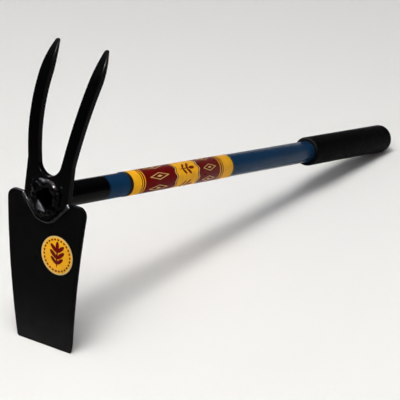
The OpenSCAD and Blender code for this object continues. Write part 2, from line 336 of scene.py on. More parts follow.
def cut_across(sheet, heights):
    """Cut a flat sheet at the given heights, so that it can be bent."""
    edit(sheet)
    for height in heights:
        bpy.ops.mesh.select_all(action="SELECT")
        bpy.ops.mesh.bisect(plane_co=(0, 0, height), plane_no=(0, 0, 1))
    done()


def mirrored(sheet):
    finish_modifier(sheet, "MIRROR", use_axis=(True, False, False), merge_threshold=TINY)


def extrude(x, y, z):
    bpy.ops.mesh.extrude_region_move(TRANSFORM_OT_translate={"value": (x, y, z)})


def thicken(sheet, thickness, place):
    """Extrude a flat sheet backwards and put each point where place(x, z, rear) says."""
    edit_all(sheet)
    extrude(0, thickness, 0)
    done()
    for vertex in sheet.data.vertices:
        rear = vertex.co.y > thickness / 2
        vertex.co = place(vertex.co.x, vertex.co.z, rear)
    outward(sheet)


def arc(centre, radius, start, end, steps):
    """Points of an arc, angles in radians."""
    angles = [start + (end - start) * i / steps for i in range(steps + 1)]
    return [(centre[0] + radius * math.cos(a), centre[1] + radius * math.sin(a)) for a in angles]


def corner(before, point, after, radius, steps):
    """The arc that rounds a corner of an outline drawn anticlockwise."""
    middle = Vector(point)
    back = (Vector(before) - middle).normalized()
    ahead = (Vector(after) - middle).normalized()
    half = math.acos(back.dot(ahead)) / 2
    centre = middle + (back + ahead).normalized() * radius / math.sin(half)
    start = math.atan2(-back.y, -back.x) - math.pi / 2
    return arc(centre, radius, start, start + math.pi - 2 * half, steps)


def chord(radius, offset):
    return math.sqrt(max(0.0, radius ** 2 - offset ** 2))


def spread(start, end, count):
    """Evenly spaced values after start, up to end."""
    return [start + (end - start) * (i + 1) / count for i in range(count)]


def round_bar(name, radius, start, end, fill):
    """A round bar along the handle, between two distances from the eye."""
    clear_selection()
    bpy.ops.mesh.primitive_cylinder_add(
        vertices=BAR_SIDES, radius=radius, depth=end - start, end_fill_type=fill,
        location=(0, (start + end) / 2, 0), rotation=(math.pi / 2, 0, 0),
    )
    bar = named(name)
    bpy.ops.object.transform_apply()
    return bar


def sleeve(name, radius, start, end, wall, rounding):
    """An open round piece on the handle, with a wall and rounded rims."""
    piece = round_bar(name, radius, start, end, "NOTHING")
    finish_modifier(piece, "SOLIDIFY", thickness=wall, offset=-1)
    outward(piece)
    round_edges(piece, rounding)
    smooth(piece)
    settle(piece, TOOL)
    return piece


def dress(piece, material, slot, *nodes):
    """Give a piece its finish, its body and the nodes that it stands for."""
    piece.data.materials.clear()
    piece.data.materials.append(material)
    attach(piece, BODY)
    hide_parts(*nodes)


# Finishes

class Recipe:
    """Builds the nodes of one finish, or of the sky."""

    def __init__(self, name, store="materials", shader="Principled BSDF"):
        self.result = getattr(bpy.data, store).new(name)
        self.result.use_nodes = True
        self.tree = self.result.node_tree
        self.shader = self.tree.nodes[shader]

    def node(self, kind, inputs=None, **settings):
        made = self.tree.nodes.new(kind)
        for key, value in settings.items():
            setattr(made, key, value)
        for key, value in (inputs or {}).items():
            self.feed(made.inputs[key], value)
        return made

    def feed(self, socket, value):
        """Link a socket to another, or give it a value. Colours are opaque."""
        if isinstance(value, bpy.types.NodeSocket):
            self.tree.links.new(value, socket)
        else:
            socket.default_value = (*value, 1.0) if socket.type == "RGBA" else value

    def set(self, **inputs):
        for key, value in inputs.items():
            self.feed(self.shader.inputs[key.replace("_", " ")], value)

    def math(self, operation, first, second=0.0):
        return self.node("ShaderNodeMath", {0: first, 1: second}, operation=operation).outputs[0]

    def place(self):
        return self.node("ShaderNodeTexCoord").outputs["Object"]

    def moved(self, vector, location=(0, 0, 0), rotation=(0, 0, 0), scale=(1, 1, 1)):
        """A vector as seen from a frame at that location, turn and size."""
        inputs = {"Vector": vector, "Location": location, "Rotation": rotation, "Scale": scale}
        return self.node("ShaderNodeMapping", inputs, vector_type="TEXTURE").outputs[0]

    def on_handle(self):
        return self.moved(self.place(), EYE, (-LEAN, 0, 0))

    def split(self, vector):
        return self.node("ShaderNodeSeparateXYZ", {0: vector}).outputs

    def join(self, x, y):
        return self.node("ShaderNodeCombineXYZ", {0: x, 1: y}).outputs[0]

    def noise(self, scale, detail=2.0, roughness=0.5, vector=None):
        """Noise at the piece's own place, or at another vector."""
        place = self.place() if vector is None else vector
        inputs = {"Vector": place, "Scale": scale, "Detail": detail, "Roughness": roughness}
        return self.node("ShaderNodeTexNoise", inputs).outputs[0]

    def span(self, value, low, high, to_low, to_high):
        """Carry a value from one span to another, held at its ends."""
        inputs = {0: value, 1: low, 2: high, 3: to_low, 4: to_high}
        return self.node("ShaderNodeMapRange", inputs).outputs[0]

    def drift(self, noise, low, high):
        """Carry a noise from the span that it mostly keeps to, to another."""
        return self.span(noise, 0.3, 0.7, low, high)

    def mix(self, share, first, second):
        """One colour where the share is nought and another where it is one."""
        return self.node("ShaderNodeMix", {0: share, 6: first, 7: second}, data_type="RGBA").outputs[2]

    def bump(self, height, strength, distance, normal=None):
        inputs = {"Height": height, "Strength": strength, "Distance": distance}
        if normal is not None:
            inputs["Normal"] = normal
        return self.node("ShaderNodeBump", inputs).outputs[0]

    def reach(self, vector):
        return self.node("ShaderNodeVectorMath", {0: vector}, operation="LENGTH").outputs["Value"]

    def away(self, value, middle):
        """How far a value lies from another, to either side."""
        return self.math("ABSOLUTE", self.math("SUBTRACT", value, middle))

    def sector(self, angle, count):
        """Share of the way through each of a number of like sectors."""
        return self.math("FRACT", self.math("MULTIPLY", angle, count / TURN))

    def spot(self, flat, middle, turn, half_sizes):
        """One inside a turned ellipse, nought outside."""
        local = self.moved(flat, (*middle, 0), (0, 0, turn), (*half_sizes, 1.0))
        return self.math("LESS_THAN", self.reach(local), 1.0)

    def sprig(self, flat, shoots, pairs, turn):
        """Upright shoots, and pairs of leaves turned to both sides: middles and half sizes."""
        spots = [self.spot(flat, middle, 0.0, half_sizes) for middle, half_sizes in shoots]
        for (out, up), half_sizes in pairs:
            for side in (-1, 1):
                spots.append(self.spot(flat, (side * out, up), -side * turn, half_sizes))
        return self.any_of(spots)

    def any_of(self, masks):
        total = masks[0]
        for mask in masks[1:]:
            total = self.math("MAXIMUM", total, mask)
        return total

    def between(self, value, low, high):
        """One where a value lies between two others."""
        above = self.math("GREATER_THAN", value, low)
        below = self.math("LESS_THAN", value, high)
        return self.math("MULTIPLY", above, below)

    def cloudy(self, base, factor, low, high, scale, detail=4.0, roughness=0.6):
        """A colour that turns lighter or darker in clouds."""
        cloud = self.noise(scale, detail, roughness)
        other = tuple(value * factor for value in base)
        return self.mix(self.span(cloud, low, high, 0.0, 1.0), base, other)

    def handled(self, tint, scale, dark, light):
        """A tint with the soft marks of handling."""
        cloud = self.noise(scale, detail=4.0, roughness=0.6)
        inputs = {"Value": self.drift(cloud, dark, light), "Color": tint}
        return self.node("ShaderNodeHueSaturation", inputs).outputs[0]

    def patchy(self, scale, low, high, roughness=0.5):
        """A gloss that drifts between two values in patches."""
        return self.drift(self.noise(scale, 3.0, roughness), low, high)

    def finish(self, tint, gloss, normal, shine):
        """Feed the shader and hand over the finished material."""
        self.set(Base_Color=tint, Roughness=gloss, Normal=normal, Specular_IOR_Level=shine)
        return self.result


def coat(recipe, tint, shine, roughness, peel, peel_scale):
    """A coat of paint with patchy gloss and an orange-peel skin."""
    gloss = recipe.patchy(95.0, roughness * 0.8, roughness * 1.25, 0.55)
    skin = recipe.bump(recipe.noise(peel_scale), peel, 0.0003)
    return recipe.finish(tint, gloss, skin, shine)


def dip_paint(colours):
    """Gloss paint that the head was dipped in."""
    recipe = Recipe("gloss_dip_paint")
    tint = recipe.cloudy(colours.dip, 1.5, 0.35, 0.7, scale=38.0)
    return coat(recipe, tint, shine=0.035, roughness=0.16, peel=0.06, peel_scale=420.0)


def bead_paint(name, colours, shine):
    """The dip paint as it lies on a rippled bead of weld."""
    recipe = Recipe(name)
    ripple = recipe.noise(420.0, detail=3.0, roughness=0.55)
    grain = recipe.noise(1100.0)
    skin = recipe.bump(grain, 0.06, 0.0003, recipe.bump(ripple, 0.5, 0.0006))
    share = recipe.span(ripple, 0.3, 0.75, 0.0, 1.0)
    tint = recipe.mix(share, colours.dip, colours.blade)
    return recipe.finish(tint, recipe.drift(grain, 0.06, 0.10), skin, shine)


def blade_paint(colours, painted_reflection_height):
    """Satin paint, with a painted reflection that lightens it towards the cutting edge."""
    recipe = Recipe("satin_blade_paint")
    # Painted reflection: the colour turns lighter towards the cutting edge, its upper edge wobbled by noise.
    reflection_edge_noise = recipe.drift(recipe.noise(60.0, detail=4.0, roughness=0.6), -0.01, 0.01)
    level = recipe.math("ADD", recipe.split(recipe.place())[2], reflection_edge_noise)
    painted_reflection = recipe.math("POWER", recipe.span(level, 0.0, painted_reflection_height, 1.0, 0.0), 2.4)
    tint = recipe.mix(painted_reflection, colours.blade, colours.painted_reflection)
    return coat(recipe, tint, shine=0.025, roughness=0.34, peel=0.08, peel_scale=700.0)


def tube_paint(colours, sizes):
    """Blue paint, with the head's dip paint over its first stretch."""
    recipe = Recipe("blue_tube_paint")
    run = recipe.drift(recipe.noise(120.0), -0.0005, 0.0005)
    edge = recipe.math("ADD", recipe.split(recipe.on_handle())[1], run)
    half_edge = 0.002
    dipped = recipe.span(edge, sizes.dip_length - half_edge, sizes.dip_length + half_edge, 1.0, 0.0)
    blue = recipe.cloudy(colours.tube, 0.78, 0.35, 0.65, scale=30.0)
    tint = recipe.mix(dipped, blue, colours.dip)
    gloss = recipe.patchy(140.0, 0.16, 0.24, 0.55)
    skin = recipe.bump(recipe.noise(520.0), 0.05, 0.0003, recipe.bump(dipped, 0.4, 0.0002))
    return recipe.finish(tint, gloss, skin, shine=0.055)


def wrap_film(colours):
    """Printed wrap: borders, bands, pinstripes, panels of lozenges and a leafy middle."""
    recipe = Recipe("printed_wrap_film")
    yellow, maroon, gold, ink = colours.yellow, colours.maroon, colours.gold, colours.ink
    x, along, z = recipe.split(recipe.on_handle())
    angle = recipe.math("ARCTAN2", z, x)
    # Bands: where each starts, as a share of the wrap's length
    ramp = recipe.node("ShaderNodeValToRGB", {0: recipe.span(along, WRAP_START, WRAP_END, 0.0, 1.0)})
    bands = [
        (0.0, ink), (0.027, yellow), (0.100, maroon), (0.108, yellow), (0.116, maroon), (0.126, yellow),
        (0.134, maroon), (0.850, yellow), (0.858, maroon), (0.868, yellow), (0.876, maroon), (0.886, yellow),
        (0.984, ink),
    ]
    ramp.color_ramp.interpolation = "CONSTANT"
    stops = ramp.color_ramp.elements
    while len(stops) < len(bands):
        stops.new(1.0)
    for stop, (position, tint) in zip(stops, bands):
        stop.position = position
        stop.color = (*tint, 1.0)
    # Wavy middle panel with a gold rim
    leafy_middle, leafy_half = 0.2225, 0.0185
    wave_count, wave_height = 8.0, 0.0012
    wave = recipe.math("SINE", recipe.math("MULTIPLY", angle, wave_count))
    wave = recipe.math("MULTIPLY", wave, wave_height)
    offset = recipe.math("ADD", recipe.away(along, leafy_middle), wave)
    middle = recipe.math("LESS_THAN", offset, leafy_half)
    rim = recipe.between(offset, leafy_half + 0.0013, leafy_half + 0.0027)
    # Six lozenges with a dot, round each maroon panel
    aside = recipe.math("DIVIDE", recipe.away(recipe.sector(angle, 6), 0.5), 0.30)
    lozenges = []
    for panel_middle, half_length in ((0.172, 0.017), (0.263, 0.012)):
        ahead = recipe.math("DIVIDE", recipe.away(along, panel_middle), half_length)
        reach = recipe.math("ADD", ahead, aside)
        lozenges.append(recipe.between(reach, 0.82, 1.0))
        lozenges.append(recipe.math("LESS_THAN", reach, 0.28))
    # Four sprigs round the middle panel
    sector_width = 0.0203
    leaf_side = recipe.math("SUBTRACT", recipe.sector(angle, 4), 0.5)
    leaf_side = recipe.math("MULTIPLY", leaf_side, sector_width)
    flat = recipe.join(leaf_side, recipe.math("SUBTRACT", along, leafy_middle))
    shoots = [((0.0, -0.002), (0.0006, 0.011)), ((0.0, 0.0085), (0.0019, 0.0048))]
    pairs = [((0.0036, 0.0028), (0.0017, 0.0048)), ((0.0034, -0.0050), (0.0015, 0.0042))]
    leaves = recipe.sprig(flat, shoots, pairs, turn=0.75)
    tint = recipe.mix(recipe.any_of([rim, *lozenges]), ramp.outputs[0], gold)
    tint = recipe.mix(middle, tint, yellow)
    tint = recipe.mix(recipe.math("MULTIPLY", middle, leaves), tint, maroon)
    # Marks of handling and slight wrinkles
    tint = recipe.handled(tint, 160.0, 0.88, 1.06)
    gloss = recipe.patchy(210.0, 0.26, 0.42)
    drawn_out = recipe.moved(recipe.on_handle(), scale=(1.0, 0.3, 1.0))
    skin = recipe.bump(recipe.noise(70.0, vector=drawn_out), 0.12, 0.0012)
    return recipe.finish(tint, gloss, skin, shine=0.04)


def sticker_film(colours, place_on_blade, turn, radius):
    """Printed sticker: dark edge, pale rim, a ring of dashes and a plain sprig."""
    recipe = Recipe("printed_sticker_film")
    x, _, z = recipe.split(recipe.moved(recipe.place(), place_on_blade, (turn, 0, 0)))
    flat = recipe.join(x, z)
    # Edge, rim and ring, as shares of the radius
    share = recipe.math("DIVIDE", recipe.reach(flat), radius)
    edge = recipe.math("GREATER_THAN", share, 0.97)
    rim = recipe.math("GREATER_THAN", share, 0.895)
    dashes = recipe.math("LESS_THAN", recipe.sector(recipe.math("ARCTAN2", z, x), 26), 0.6)
    ring = recipe.math("MULTIPLY", recipe.between(share, 0.75, 0.84), dashes)
    # Sprig with three pairs of leaves
    shoots = [((0.0, -0.0012), (0.0011, 0.0112)), ((0.0, 0.0098), (0.0022, 0.0046))]
    pairs = []
    for up, size in ((0.0070, 1.0), (0.0006, 1.05), (-0.0056, 0.9)):
        pairs.append(((0.0042 * size, up), (0.0021 * size, 0.0057 * size)))
    sprig = recipe.sprig(flat, shoots, pairs, turn=0.85)
    tint = recipe.mix(recipe.any_of([ring, sprig]), colours.yellow, colours.maroon)
    tint = recipe.mix(rim, tint, colours.gold)
    tint = recipe.mix(edge, tint, colours.ink)
    # Marks of handling and slight wrinkles
    tint = recipe.handled(tint, 140.0, 0.9, 1.05)
    gloss = recipe.patchy(240.0, 0.28, 0.42)
    skin = recipe.bump(recipe.noise(160.0), 0.08, 0.0006)
    return recipe.finish(tint, gloss, skin, shine=0.04)


def grip_rubber(colours):
    """Matt rubber, dusty in places, with a fine grain over a slight swell."""
    recipe = Recipe("grip_rubber")
    tint = recipe.cloudy(colours.rubber, 1.8, 0.4, 0.75, scale=60.0)
    swell = recipe.bump(recipe.noise(55.0), 0.12, 0.0015)
    grain = recipe.bump(recipe.noise(1500.0, detail=3.0, roughness=0.6), 0.15, 0.0003, swell)
    return recipe.finish(tint, recipe.patchy(130.0, 0.46, 0.62), grain, shine=0.02)


def floor_finish(colours):
    recipe = Recipe("studio_floor")
    tint = recipe.cloudy(colours.floor, 0.985, 0.3, 0.7, scale=0.6, detail=2.0, roughness=0.5)
    recipe.set(Base_Color=tint, Roughness=0.9, Specular_IOR_Level=0.0)
    return recipe.result


# Shapes worked out from the sizes

class ForkShape:
    """Edges and faces of the fork, before it is put on the handle."""

    def __init__(self, size):
        self.size = size
        self.half = size.plate_width / 2
        self.end_z = size.tongue_radius - size.tongue_depth
        reach = math.hypot(self.half, self.end_z)
        self.tilt = math.acos(size.tongue_radius / reach) - math.atan2(-self.end_z, self.half)
        self.flare_x = size.prong_spread / 2 - size.flare_radius
        self.inner = size.flare_radius - size.prong_width / 2
        self.outer = size.flare_radius + size.prong_width / 2
        # The crotch is an arc that touches both inner edges
        gap = size.prong_height - size.crotch_height
        power = self.inner ** 2 - gap ** 2 - self.flare_x ** 2
        self.crotch_radius = power / (2 * (self.inner - gap))
        self.crotch_z = size.crotch_height + self.crotch_radius
        drop = (size.prong_height - self.crotch_z) / (self.inner - self.crotch_radius)
        self.meet_angle = -math.asin(drop)
        self.shoulder_z = size.prong_height - chord(self.outer, self.half - self.flare_x)
        self.flat_top = (self.shoulder_z + size.bend_start) / 2
        # Tapers and round tips
        self.cut_z = size.prong_height - size.tip_width / 2
        self.taper_z = size.prong_height - size.taper_length
        rise = self.cut_z - self.taper_z
        outer_draw = size.prong_width - size.tip_width - size.inner_taper
        self.outer_round = (rise ** 2 + outer_draw ** 2) / (2 * outer_draw)
        self.inner_round = (rise ** 2 + size.inner_taper ** 2) / (2 * size.inner_taper)
        self.outer_centre = self.on_flare(self.outer, self.outer - self.outer_round)
        self.inner_centre = self.on_flare(self.inner, self.inner + self.inner_round)
        tip_inner, tip_outer = self.edges(self.cut_z)
        self.tip_x = (tip_outer + tip_inner) / 2
        self.tip_round = (tip_outer - tip_inner) / 2
        # Ground face behind the tips
        tip_bend = math.asin((size.prong_height - size.bend_start) / size.bend_radius)
        grind_bend = tip_bend - size.grind_length / size.bend_radius
        self.grind_y, self.grind_z = self.behind(grind_bend, size.thickness)
        tip_y, tip_z = self.behind(tip_bend, size.tip_thickness)
        self.grind_slope = (tip_y - self.grind_y) / (tip_z - self.grind_z)

    def on_flare(self, edge, distance):
        """Point at a distance from the flare's middle, level with the start of an edge's taper."""
        drop = self.size.taper_length / edge
        return self.flare_x + distance * chord(1.0, drop), self.size.prong_height - distance * drop

    def behind(self, angle, depth):
        """Distance back and height of a point at a depth in the bent prong."""
        size = self.size
        radius = size.bend_radius - depth
        return size.bend_radius - radius * math.cos(angle), size.bend_start + radius * math.sin(angle)

    def edges(self, z):
        """Inner and outer edge of a prong at a height."""
        if z <= self.taper_z:
            offset = z - self.size.prong_height
            return self.flare_x + chord(self.inner, offset), self.flare_x + chord(self.outer, offset)
        if z <= self.cut_z:
            outer = self.outer_centre[0] + chord(self.outer_round, z - self.outer_centre[1])
            inner = self.inner_centre[0] - chord(self.inner_round, z - self.inner_centre[1])
            return inner, outer
        half = chord(self.tip_round, z - self.cut_z)
        return self.tip_x - half, self.tip_x + half

    def face(self, z, depth):
        """Distance back of the plate's face that lies at a depth, at a height."""
        if z <= self.size.bend_start:
            return depth
        return self.size.bend_radius - chord(self.size.bend_radius - depth, z - self.size.bend_start)

    def rear(self, z):
        """Distance back of the rear face, ground thin behind the tips."""
        plain = self.face(z, self.size.thickness)
        if z <= self.grind_z:
            return plain
        return min(plain, self.grind_y + self.grind_slope * (z - self.grind_z))

    def place(self, x, z, rear):
        return x, self.rear(z) if rear else self.face(z, 0.0), z

    def tongue(self, margin, steps):
        """Right half of the tongue's round end and side, from its lowest point up."""
        radius = self.size.tongue_radius + margin
        return arc((0.0, self.end_z), radius, -math.pi / 2, -self.tilt, steps)

    def plate(self):
        """Right half of the flat plate, up to where the prongs start to bend."""
        points = self.tongue(0.0, steps=14)
        points += [(self.half, 0.0), (self.half, self.shoulder_z)]
        for z in spread(self.shoulder_z, self.flat_top, count=3):
            points.append((self.edges(z)[1], z))
        points.append((self.edges(self.flat_top)[0], self.flat_top))
        points += arc((0.0, self.crotch_z), self.crotch_radius, self.meet_angle, -math.pi / 2, steps=16)
        points += arc((0.0, 0.0), self.size.eye_radius, math.pi / 2, -math.pi / 2, steps=48)
        return points

    def heights(self):
        """Heights at which a prong is extended, from the bend to the tip."""
        lower, upper = sorted((self.taper_z, self.grind_z))
        up = [(self.flat_top + self.size.bend_start) / 2, self.size.bend_start]
        up += spread(self.size.bend_start, lower, count=24)
        up += spread(lower, upper, count=2)
        up += spread(upper, self.cut_z, count=14)
        return up

    def tip(self):
        """Round end of the right prong, from its inner edge to its outer one."""
        return arc((self.tip_x, self.cut_z), self.tip_round, math.pi, 0.0, TIP_STEPS)


class BladeShape:
    """Outline and faces of the blade, standing on the ground."""

    def __init__(self, size, fork):
        self.size = size
        self.fork = fork
        turn = Matrix.Rotation(size.angle, 4, "X")
        self.place_on_tool = TOOL @ Matrix.Translation((0, size.setback, 0)) @ turn
        self.radius = (size.length / 2) ** 2 / (2 * size.bow) + size.bow / 2
        self.centre = self.place_on_tool @ Vector((0, self.radius - size.bow, -size.length / 2))
        self.rise = size.length * math.cos(LEAN - size.angle)
        half_arc = math.asin(size.length / 2 / self.radius)
        slope = math.atan((size.thickness - size.edge_land) / size.grind_length) - half_arc
        self.land = self.place_on_tool @ Vector((0, size.edge_land, -size.length))
        ground = self.place_on_tool.to_3x3() @ Vector((0, math.sin(slope), math.cos(slope)))
        self.ground_slope = ground.y / ground.z
        self.ground_top = self.land.z + size.grind_length * ground.z
        self.notch_half = fork.half + size.notch_gap
        self.notch_low = min(z for _, z in self.notch())

    def front(self, z):
        return self.centre.y - chord(self.radius, z - self.centre.z)

    def rear(self, z):
        plain = self.centre.y - chord(self.radius - self.size.thickness, z - self.centre.z)
        return min(plain, self.land.y + self.ground_slope * (z - self.land.z))

    def depth(self, z):
        """Distance of the front face behind the fork's face, at a height from the eye."""
        centre = TOOL.inverted() @ self.centre
        return centre.y - chord(self.radius, z - centre.z)

    def notch(self):
        """Right half of the notch as it shows in the front face, from its lowest point up."""
        outline = self.fork.tongue(self.size.notch_gap, steps=10)
        return [(x, (TOOL @ Vector((x, self.depth(z), z))).z) for x, z in outline]

    def seam(self, gap):
        """Path on the front face round the tongue, from its left end to its right one."""
        right = self.fork.tongue(gap, steps=16)
        x, z = right[-1]
        foot_x, foot_z = self.fork.tongue(0.0, steps=1)[-1]
        for share in spread(0.0, 1.0, count=16):
            right.append((x + share * (self.fork.half - foot_x), z - share * foot_z))
        left = [(-x, z) for x, z in reversed(right[1:])]
        return [(x, self.depth(z), z) for x, z in left + right]

    def sheet(self):
        """Right half of the outline."""
        size = self.size
        low, high = (size.edge_width / 2, 0.0), (size.top_width / 2, self.rise)
        notch_top = (self.notch_half, self.rise)
        points = [(0.0, 0.0)]
        points += corner((0.0, 0.0), low, high, size.edge_corner, steps=6)
        points += corner(low, high, notch_top, size.top_corner, steps=12)
        points.append(notch_top)
        points += reversed(self.notch())
        return points

    def in_notch(self, x, z):
        beside = abs(x) < self.notch_half - NEAR
        return beside and self.notch_low - NEAR < z < self.rise - NEAR

    def place(self, x, z, rear):
        """Where a point of the outline goes in a face. The notch leans with the tongue."""
        if not rear:
            return x, self.front(z), z
        if self.in_notch(x, z):
            z -= self.size.thickness * math.tan(LEAN)
        return x, self.rear(z), z


def blade_shape(scene):
    return BladeShape(scene.forkhoe_blade, ForkShape(scene.forkhoe_fork))


# Operators, one for each piece or group of like pieces

class FORKHOE_OT_fork(bpy.types.Operator):
    """Model the plate fork: tongue, eye and two flared, bent prongs with ground tips"""

    bl_idname = "forkhoe.fork"
    bl_label = "Fork"

    def execute(self, context):
        size = context.scene.forkhoe_fork
        shape = ForkShape(size)
        fork = outline_sheet("fork_plate", shape.plate())
        # Draw the right prong up from the plate, edge by edge
        edit(fork)
        level = shape.flat_top - TINY
        choose(fork, "EDGE", lambda edge: all(vertex.co.z > level for vertex in edge.verts))
        for height in shape.heights():
            extrude(0, 0, NUDGE)
            self.lay_out(fork, [(x, height) for x in shape.edges(height)])
        bpy.ops.mesh.subdivide(number_cuts=TIP_STEPS - 1)
        self.lay_out(fork, shape.tip())
        done()
        mirrored(fork)
        thicken(fork, size.thickness, shape.place)
        round_edges(fork, size.edge_round, segments=4)
        even_normals(fork)
        settle(fork, TOOL)
        dress(fork, dip_paint(context.scene.forkhoe_colours), "fork_paint", "fork")
        return {"FINISHED"}

    def lay_out(self, fork, points):
        """Put the selected vertices, from left to right, on the given points."""
        net = bmesh.from_edit_mesh(fork.data)
        row = sorted((vertex for vertex in net.verts if vertex.select), key=lambda vertex: vertex.co.x)
        for vertex, (x, z) in zip(row, points):
            vertex.co = (x, 0.0, z)
        bmesh.update_edit_mesh(fork.data)


class FORKHOE_OT_blade(bpy.types.Operator):
    """Model the bowed blade with its notch, rounded corners and ground edge"""

    bl_idname = "forkhoe.blade"
    bl_label = "Blade"

    def execute(self, context):
        size = context.scene.forkhoe_blade
        shape = blade_shape(context.scene)
        blade = outline_sheet("blade_plate", shape.sheet())
        cut_across(blade, [shape.ground_top, *spread(shape.ground_top, shape.rise - LAST_CUT, count=48)])
        mirrored(blade)
        thicken(blade, size.thickness, shape.place)
        round_edges(blade, size.edge_round)
        even_normals(blade)
        paint = blade_paint(context.scene.forkhoe_colours, size.painted_reflection_height)
        dress(blade, paint, "blade_paint", "hoe_blade")
        return {"FINISHED"}


class FORKHOE_OT_welds(bpy.types.Operator):
    """Shape the weld beads: the ring at the tube's mouth, the seam on the blade and the fillet behind"""

    bl_idname = "forkhoe.welds"
    bl_label = "Welds"

    def execute(self, context):
        colours = context.scene.forkhoe_colours
        sizes = context.scene.forkhoe_handle
        back = context.scene.forkhoe_fork.thickness
        paint = bead_paint("painted_ring_weld", colours, shine=0.035)
        front = self.ring("eye_weld_bead", sizes.ring_radius, sizes.ring_width / 2, sizes.ring_height)
        self.spatter(front)
        self.roughen(front, lump=0.0070, strength=-0.0036)
        self.close(front)
        dress(front, paint, "weld_paint", "eye_weld")
        leg = sizes.rear_bead
        rear = self.ring("rear_weld_bead", TUBE_RADIUS, leg, leg, face=back, side=1)
        self.roughen(rear, lump=0.0080, strength=-0.0028)
        self.close(rear)
        dress(rear, paint, "weld_paint", "rear_weld")
        path = blade_shape(context.scene).seam(sizes.seam_gap)
        seam = self.seam(path, sizes.seam_bead)
        self.roughen(seam, lump=0.0060, strength=-0.0008)
        smooth(seam)
        dress(seam, bead_paint("painted_seam_weld", colours, shine=0.13), "weld_paint", "seam_weld")
        return {"FINISHED"}

    def ring(self, name, radius, half_width, height, face=0.0, side=-1):
        """Half of a flattened ring on one side of the plate."""
        clear_selection()
        bpy.ops.mesh.primitive_torus_add(
            major_radius=radius, minor_radius=half_width, major_segments=192, minor_segments=32,
            rotation=(math.pi / 2, 0, 0),
        )
        bead = named(name)
        bpy.ops.object.transform_apply()
        edit_all(bead)
        bpy.ops.transform.resize(value=(1, height / half_width, 1), center_override=(0, 0, 0))
        bpy.ops.transform.translate(value=(0, face, 0))
        bpy.ops.mesh.bisect(plane_co=(0, face, 0), plane_no=(0, side, 0), clear_inner=True)
        done()
        return bead

    def close(self, bead):
        """Close the flat side of a ring between its two cut loops."""
        edit(bead)
        choose(bead, "EDGE", lambda edge: edge.is_boundary)
        bpy.ops.mesh.bridge_edge_loops()
        done()
        outward(bead)
        smooth(bead, angle=60)

    def spatter(self, bead):
        """A few drops that the torch threw on the plate round the ring."""
        edit(bead)
        for angle, away, size in SPATTER:
            turn = math.radians(angle)
            spot = (away * math.cos(turn), 0, away * math.sin(turn))
            bpy.ops.mesh.select_all(action="DESELECT")
            bpy.ops.mesh.primitive_uv_sphere_add(segments=16, ring_count=8, radius=size, location=spot)
        done()

    def seam(self, path, radius):
        """The bead beside the tongue: a path that gets a round section."""
        bead = loop("seam_weld_bead", path)
        # Open the ring between its two upper ends, where its one long edge is
        edit(bead)
        long_edge = 0.02
        choose(bead, "EDGE", lambda edge: edge.calc_length() > long_edge)
        bpy.ops.mesh.delete(type="EDGE")
        done()
        bpy.ops.object.convert(target="CURVE")
        bead.data.bevel_depth = radius
        bead.data.bevel_resolution = 6
        bead.data.use_fill_caps = True
        bpy.ops.object.convert(target="MESH")
        bead.data.name = bead.name
        # Join the end caps to the bead
        edit_all(bead)
        bpy.ops.mesh.remove_doubles(threshold=TINY)
        done()
        outward(bead)
        return bead

    def roughen(self, bead, lump, strength):
        """Put a bead in its place and swell it in lumps, as the torch left it."""
        settle(bead, TOOL)
        lumps = bpy.data.textures.new("weld_lumps", "CLOUDS")
        lumps.noise_scale = lump
        lumps.noise_depth = 0
        lumps.noise_basis = "VORONOI_F1"
        finish_modifier(bead, "DISPLACE", texture=lumps, strength=strength)


class FORKHOE_OT_tube(bpy.types.Operator):
    """Model the handle's tube with its wall and rounded rims"""

    bl_idname = "forkhoe.tube"
    bl_label = "Tube"

    def execute(self, context):
        sizes = context.scene.forkhoe_handle
        wall = sizes.tube_wall
        tube = sleeve("painted_tube", TUBE_RADIUS, TUBE_START, TUBE_END, wall, rounding=wall / 4)
        dress(tube, tube_paint(context.scene.forkhoe_colours, sizes), "tube_paint", "handle_tube")
        return {"FINISHED"}


class FORKHOE_OT_wrap(bpy.types.Operator):
    """Model the thin printed wrap on the tube"""

    bl_idname = "forkhoe.wrap"
    bl_label = "Printed wrap"

    def execute(self, context):
        film = context.scene.forkhoe_handle.wrap_thickness
        wrap = sleeve("printed_wrap", WRAP_RADIUS, WRAP_START, WRAP_END, film, rounding=film / 3)
        dress(wrap, wrap_film(context.scene.forkhoe_colours), "label_film", "label_sleeve")
        return {"FINISHED"}


class FORKHOE_OT_sticker(bpy.types.Operator):
    """Model the round sticker that follows the bow of the blade"""

    bl_idname = "forkhoe.sticker"
    bl_label = "Sticker"

    def execute(self, context):
        sizes = context.scene.forkhoe_handle
        shape = blade_shape(context.scene)
        radius = (STICKER_HIGH.x - STICKER_LOW.x) / 2
        side = (STICKER_HIGH.x + STICKER_LOW.x) / 2
        drop = sizes.sticker_drop
        sticker = outline_sheet("round_sticker", arc((side, -drop), radius, 0.0, TURN, steps=96)[:-1])
        cut_across(sticker, spread(-drop - radius, radius - drop - LAST_CUT, count=13))
        deep = shape.radius - shape.size.bow
        half = shape.size.length / 2
        glue = 0.00002

        def place(x, z, rear):
            face = deep - chord(shape.radius, z + half)
            return x, face - (glue if rear else sizes.sticker_thickness), z

        thicken(sticker, NUDGE, place)
        round_edges(sticker, width=0.0001, segments=2)
        smooth(sticker)
        settle(sticker, shape.place_on_tool)
        spot = shape.place_on_tool @ Vector((side, 0, -drop))
        turn = shape.size.angle - LEAN
        film = sticker_film(context.scene.forkhoe_colours, spot, turn, radius)
        dress(sticker, film, "sticker_film", "blade_sticker")
        return {"FINISHED"}


